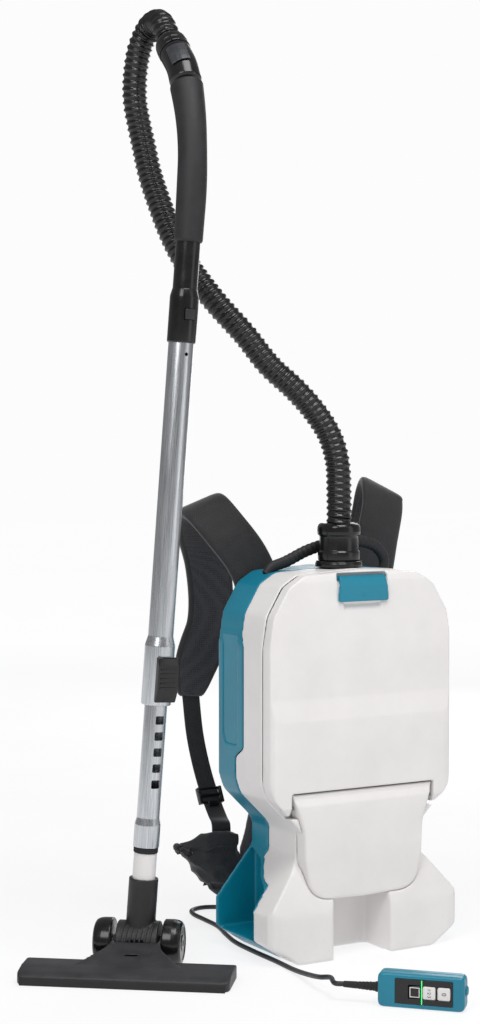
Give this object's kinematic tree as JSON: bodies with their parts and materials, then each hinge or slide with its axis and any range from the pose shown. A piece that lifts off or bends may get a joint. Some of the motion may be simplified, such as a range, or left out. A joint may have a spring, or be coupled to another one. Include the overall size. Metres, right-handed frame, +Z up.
{
  "type": "backpack vacuum cleaner",
  "caption": "Backpack vacuum cleaner with padded harness, ribbed suction hose, telescopic wand, wheeled floor nozzle and a wired remote, standing ready with its wand upright.",
  "frame": {"origin": "on the floor under the middle of the bounding box of everything except the hose and the remote's cable", "axes": "+Z up, the pack's front faces -Y, the wearer's back is on its +Y side, and the wand stands to its -X side"},
  "size_m": [0.7002, 0.6724, 1.3745],
  "materials": {
    "white_plastic": "satin injection-moulded ABS",
    "teal_plastic": "satin injection-moulded ABS",
    "black_plastic": "semi-gloss black",
    "satin_plastic": "satin black",
    "rubber": "matt black",
    "steel": "bright",
    "aluminium_tube": "clear anodised",
    "filter_paper": "fleece and pleated paper",
    "circuit_board": "solder mask",
    "webbing": "black polyester",
    "mesh_foam": "dark grey air mesh over foam"
  },
  "bodies": {
    "pack": {"dust_housing": "white_plastic", "motor_cover": "white_plastic", "rear_frame": "teal_plastic", "remote_front": "teal_plastic", "remote_back": "teal_plastic", "inlet_port": "black_plastic", "fan_shroud": "black_plastic", "strap_buckle_left": "black_plastic", "strap_buckle_right": "black_plastic", "battery_terminal_left": "black_plastic", "battery_terminal_right": "black_plastic", "remote_panel": "black_plastic", "hose": "black_plastic", "handle_body": "black_plastic", "filter_frame": "black_plastic", "carry_handle": "satin_plastic", "handle_grip": "satin_plastic", "door_seal": "rubber", "motor_mount": "rubber", "cable_gland": "rubber", "strain_relief": "rubber", "remote_cable": "rubber", "hinge_pin_left": "steel", "hinge_pin_right": "steel", "motor_can": "steel", "outer_tube": "aluminium_tube", "bag_plate": "filter_paper", "dust_bag": "filter_paper", "hepa_filter": "filter_paper", "controller_board": "circuit_board", "shoulder_strap_left": "webbing", "shoulder_strap_right": "webbing", "strap_webbing_left": "webbing", "strap_webbing_right": "webbing", "hip_belt_left": "webbing", "hip_belt_right": "webbing", "back_pad": "mesh_foam", "lumbar_pad": "mesh_foam"},
    "dust_door": {"dust_door": "white_plastic"},
    "door_latch": {"door_latch": "teal_plastic"},
    "hose_cuff": {"hose_cuff": "black_plastic"},
    "fan": {"motor_shaft": "steel", "fan_impeller": "aluminium_tube"},
    "inner_tube": {"inner_tube": "aluminium_tube", "wand_end_cuff": "white_plastic", "wand_seal_ring": "rubber"},
    "neck": {"neck_elbow": "black_plastic"},
    "nozzle": {"nozzle_body": "satin_plastic", "nozzle_bumper": "rubber", "bristle_strip": "rubber", "nozzle_axle": "steel"},
    "wheel_left": {"nozzle_wheel_left": "black_plastic"},
    "wheel_right": {"nozzle_wheel_right": "black_plastic"},
    "tube_lock": {"tube_lock_slider": "black_plastic"},
    "handle_lock": {"handle_lock_button": "black_plastic"},
    "suction_control": {"suction_slider": "satin_plastic"},
    "hose_end_cuff": {"hose_end_cuff": "black_plastic"},
    "button_stop": {"button_stop": "white_plastic"},
    "button_speed": {"button_speed": "white_plastic"},
    "button_mode": {"button_mode": "black_plastic"}
  },
  "joints": [
    {"name": "door_hinge", "type": "hinge", "parent": "pack", "child": "dust_door", "pos_m": [0.15253, 0.00141, 0.222], "axis": [1, 0, 0], "range_deg": [0, 95]},
    {"name": "latch_pivot", "type": "hinge", "parent": "dust_door", "child": "door_latch", "pos_m": [0.15253, 0.00241, 0.549], "axis": [-1, 0, 0], "range_deg": [0, 45], "stiffness_Nm_per_rad": 0.05},
    {"name": "hose_cuff_swivel", "type": "hinge", "parent": "pack", "child": "hose_cuff", "pos_m": [0.15253, 0.05841, 0.59], "axis": [0, 0, 1], "continuous": true},
    {"name": "fan_spin", "type": "hinge", "parent": "pack", "child": "fan", "pos_m": [0.15253, 0.09241, 0.1], "axis": [0, 0, 1], "continuous": true},
    {"name": "wand_slide", "type": "slide", "parent": "pack", "child": "inner_tube", "axis": [0.0614, -0.0355, 0.9975], "range_m": [0, 0.137]},
    {"name": "neck_swivel", "type": "hinge", "parent": "inner_tube", "child": "neck", "pos_m": [-0.15617, 0.10151, 0.0333], "axis": [0.0614, -0.0355, 0.9975], "range_deg": [-90, 25]},
    {"name": "nozzle_tilt", "type": "hinge", "parent": "neck", "child": "nozzle", "pos_m": [-0.15617, 0.10151, 0.0333], "axis": [0.788, -0.6157, 0], "range_deg": [-10, 70]},
    {"name": "wheel_left_spin", "type": "hinge", "parent": "nozzle", "child": "wheel_left", "pos_m": [-0.15617, 0.10151, 0.0333], "axis": [0.788, -0.6157, 0], "continuous": true},
    {"name": "wheel_right_spin", "type": "hinge", "parent": "nozzle", "child": "wheel_right", "pos_m": [-0.15617, 0.10151, 0.0333], "axis": [0.788, -0.6157, 0], "continuous": true},
    {"name": "tube_lock_slide", "type": "slide", "parent": "pack", "child": "tube_lock", "axis": [0.0614, -0.0355, 0.9975], "range_m": [0, 0.0055], "stiffness_N_per_m": 400},
    {"name": "handle_lock_press", "type": "slide", "parent": "pack", "child": "handle_lock", "axis": [0.0022, 0.9994, 0.0354], "range_m": [0, 0.0014], "stiffness_N_per_m": 600},
    {"name": "suction_control_slide", "type": "slide", "parent": "pack", "child": "suction_control", "axis": [0.0456, 0.6716, 0.7395], "range_m": [-0.006, 0.006]},
    {"name": "hose_end_swivel", "type": "hinge", "parent": "pack", "child": "hose_end_cuff", "pos_m": [-0.07802, 0.1364, 1.30194], "axis": [0.0442, 0.6953, 0.7173], "continuous": true},
    {"name": "button_stop_press", "type": "slide", "parent": "pack", "child": "button_stop", "axis": [0.7205, 0.6935, 0], "range_m": [0, 0.001], "stiffness_N_per_m": 800},
    {"name": "button_speed_press", "type": "slide", "parent": "pack", "child": "button_speed", "axis": [0.7205, 0.6935, 0], "range_m": [0, 0.001], "stiffness_N_per_m": 800},
    {"name": "button_mode_press", "type": "slide", "parent": "pack", "child": "button_mode", "axis": [0.7205, 0.6935, 0], "range_m": [0, 0.001], "stiffness_N_per_m": 800}
  ]
}
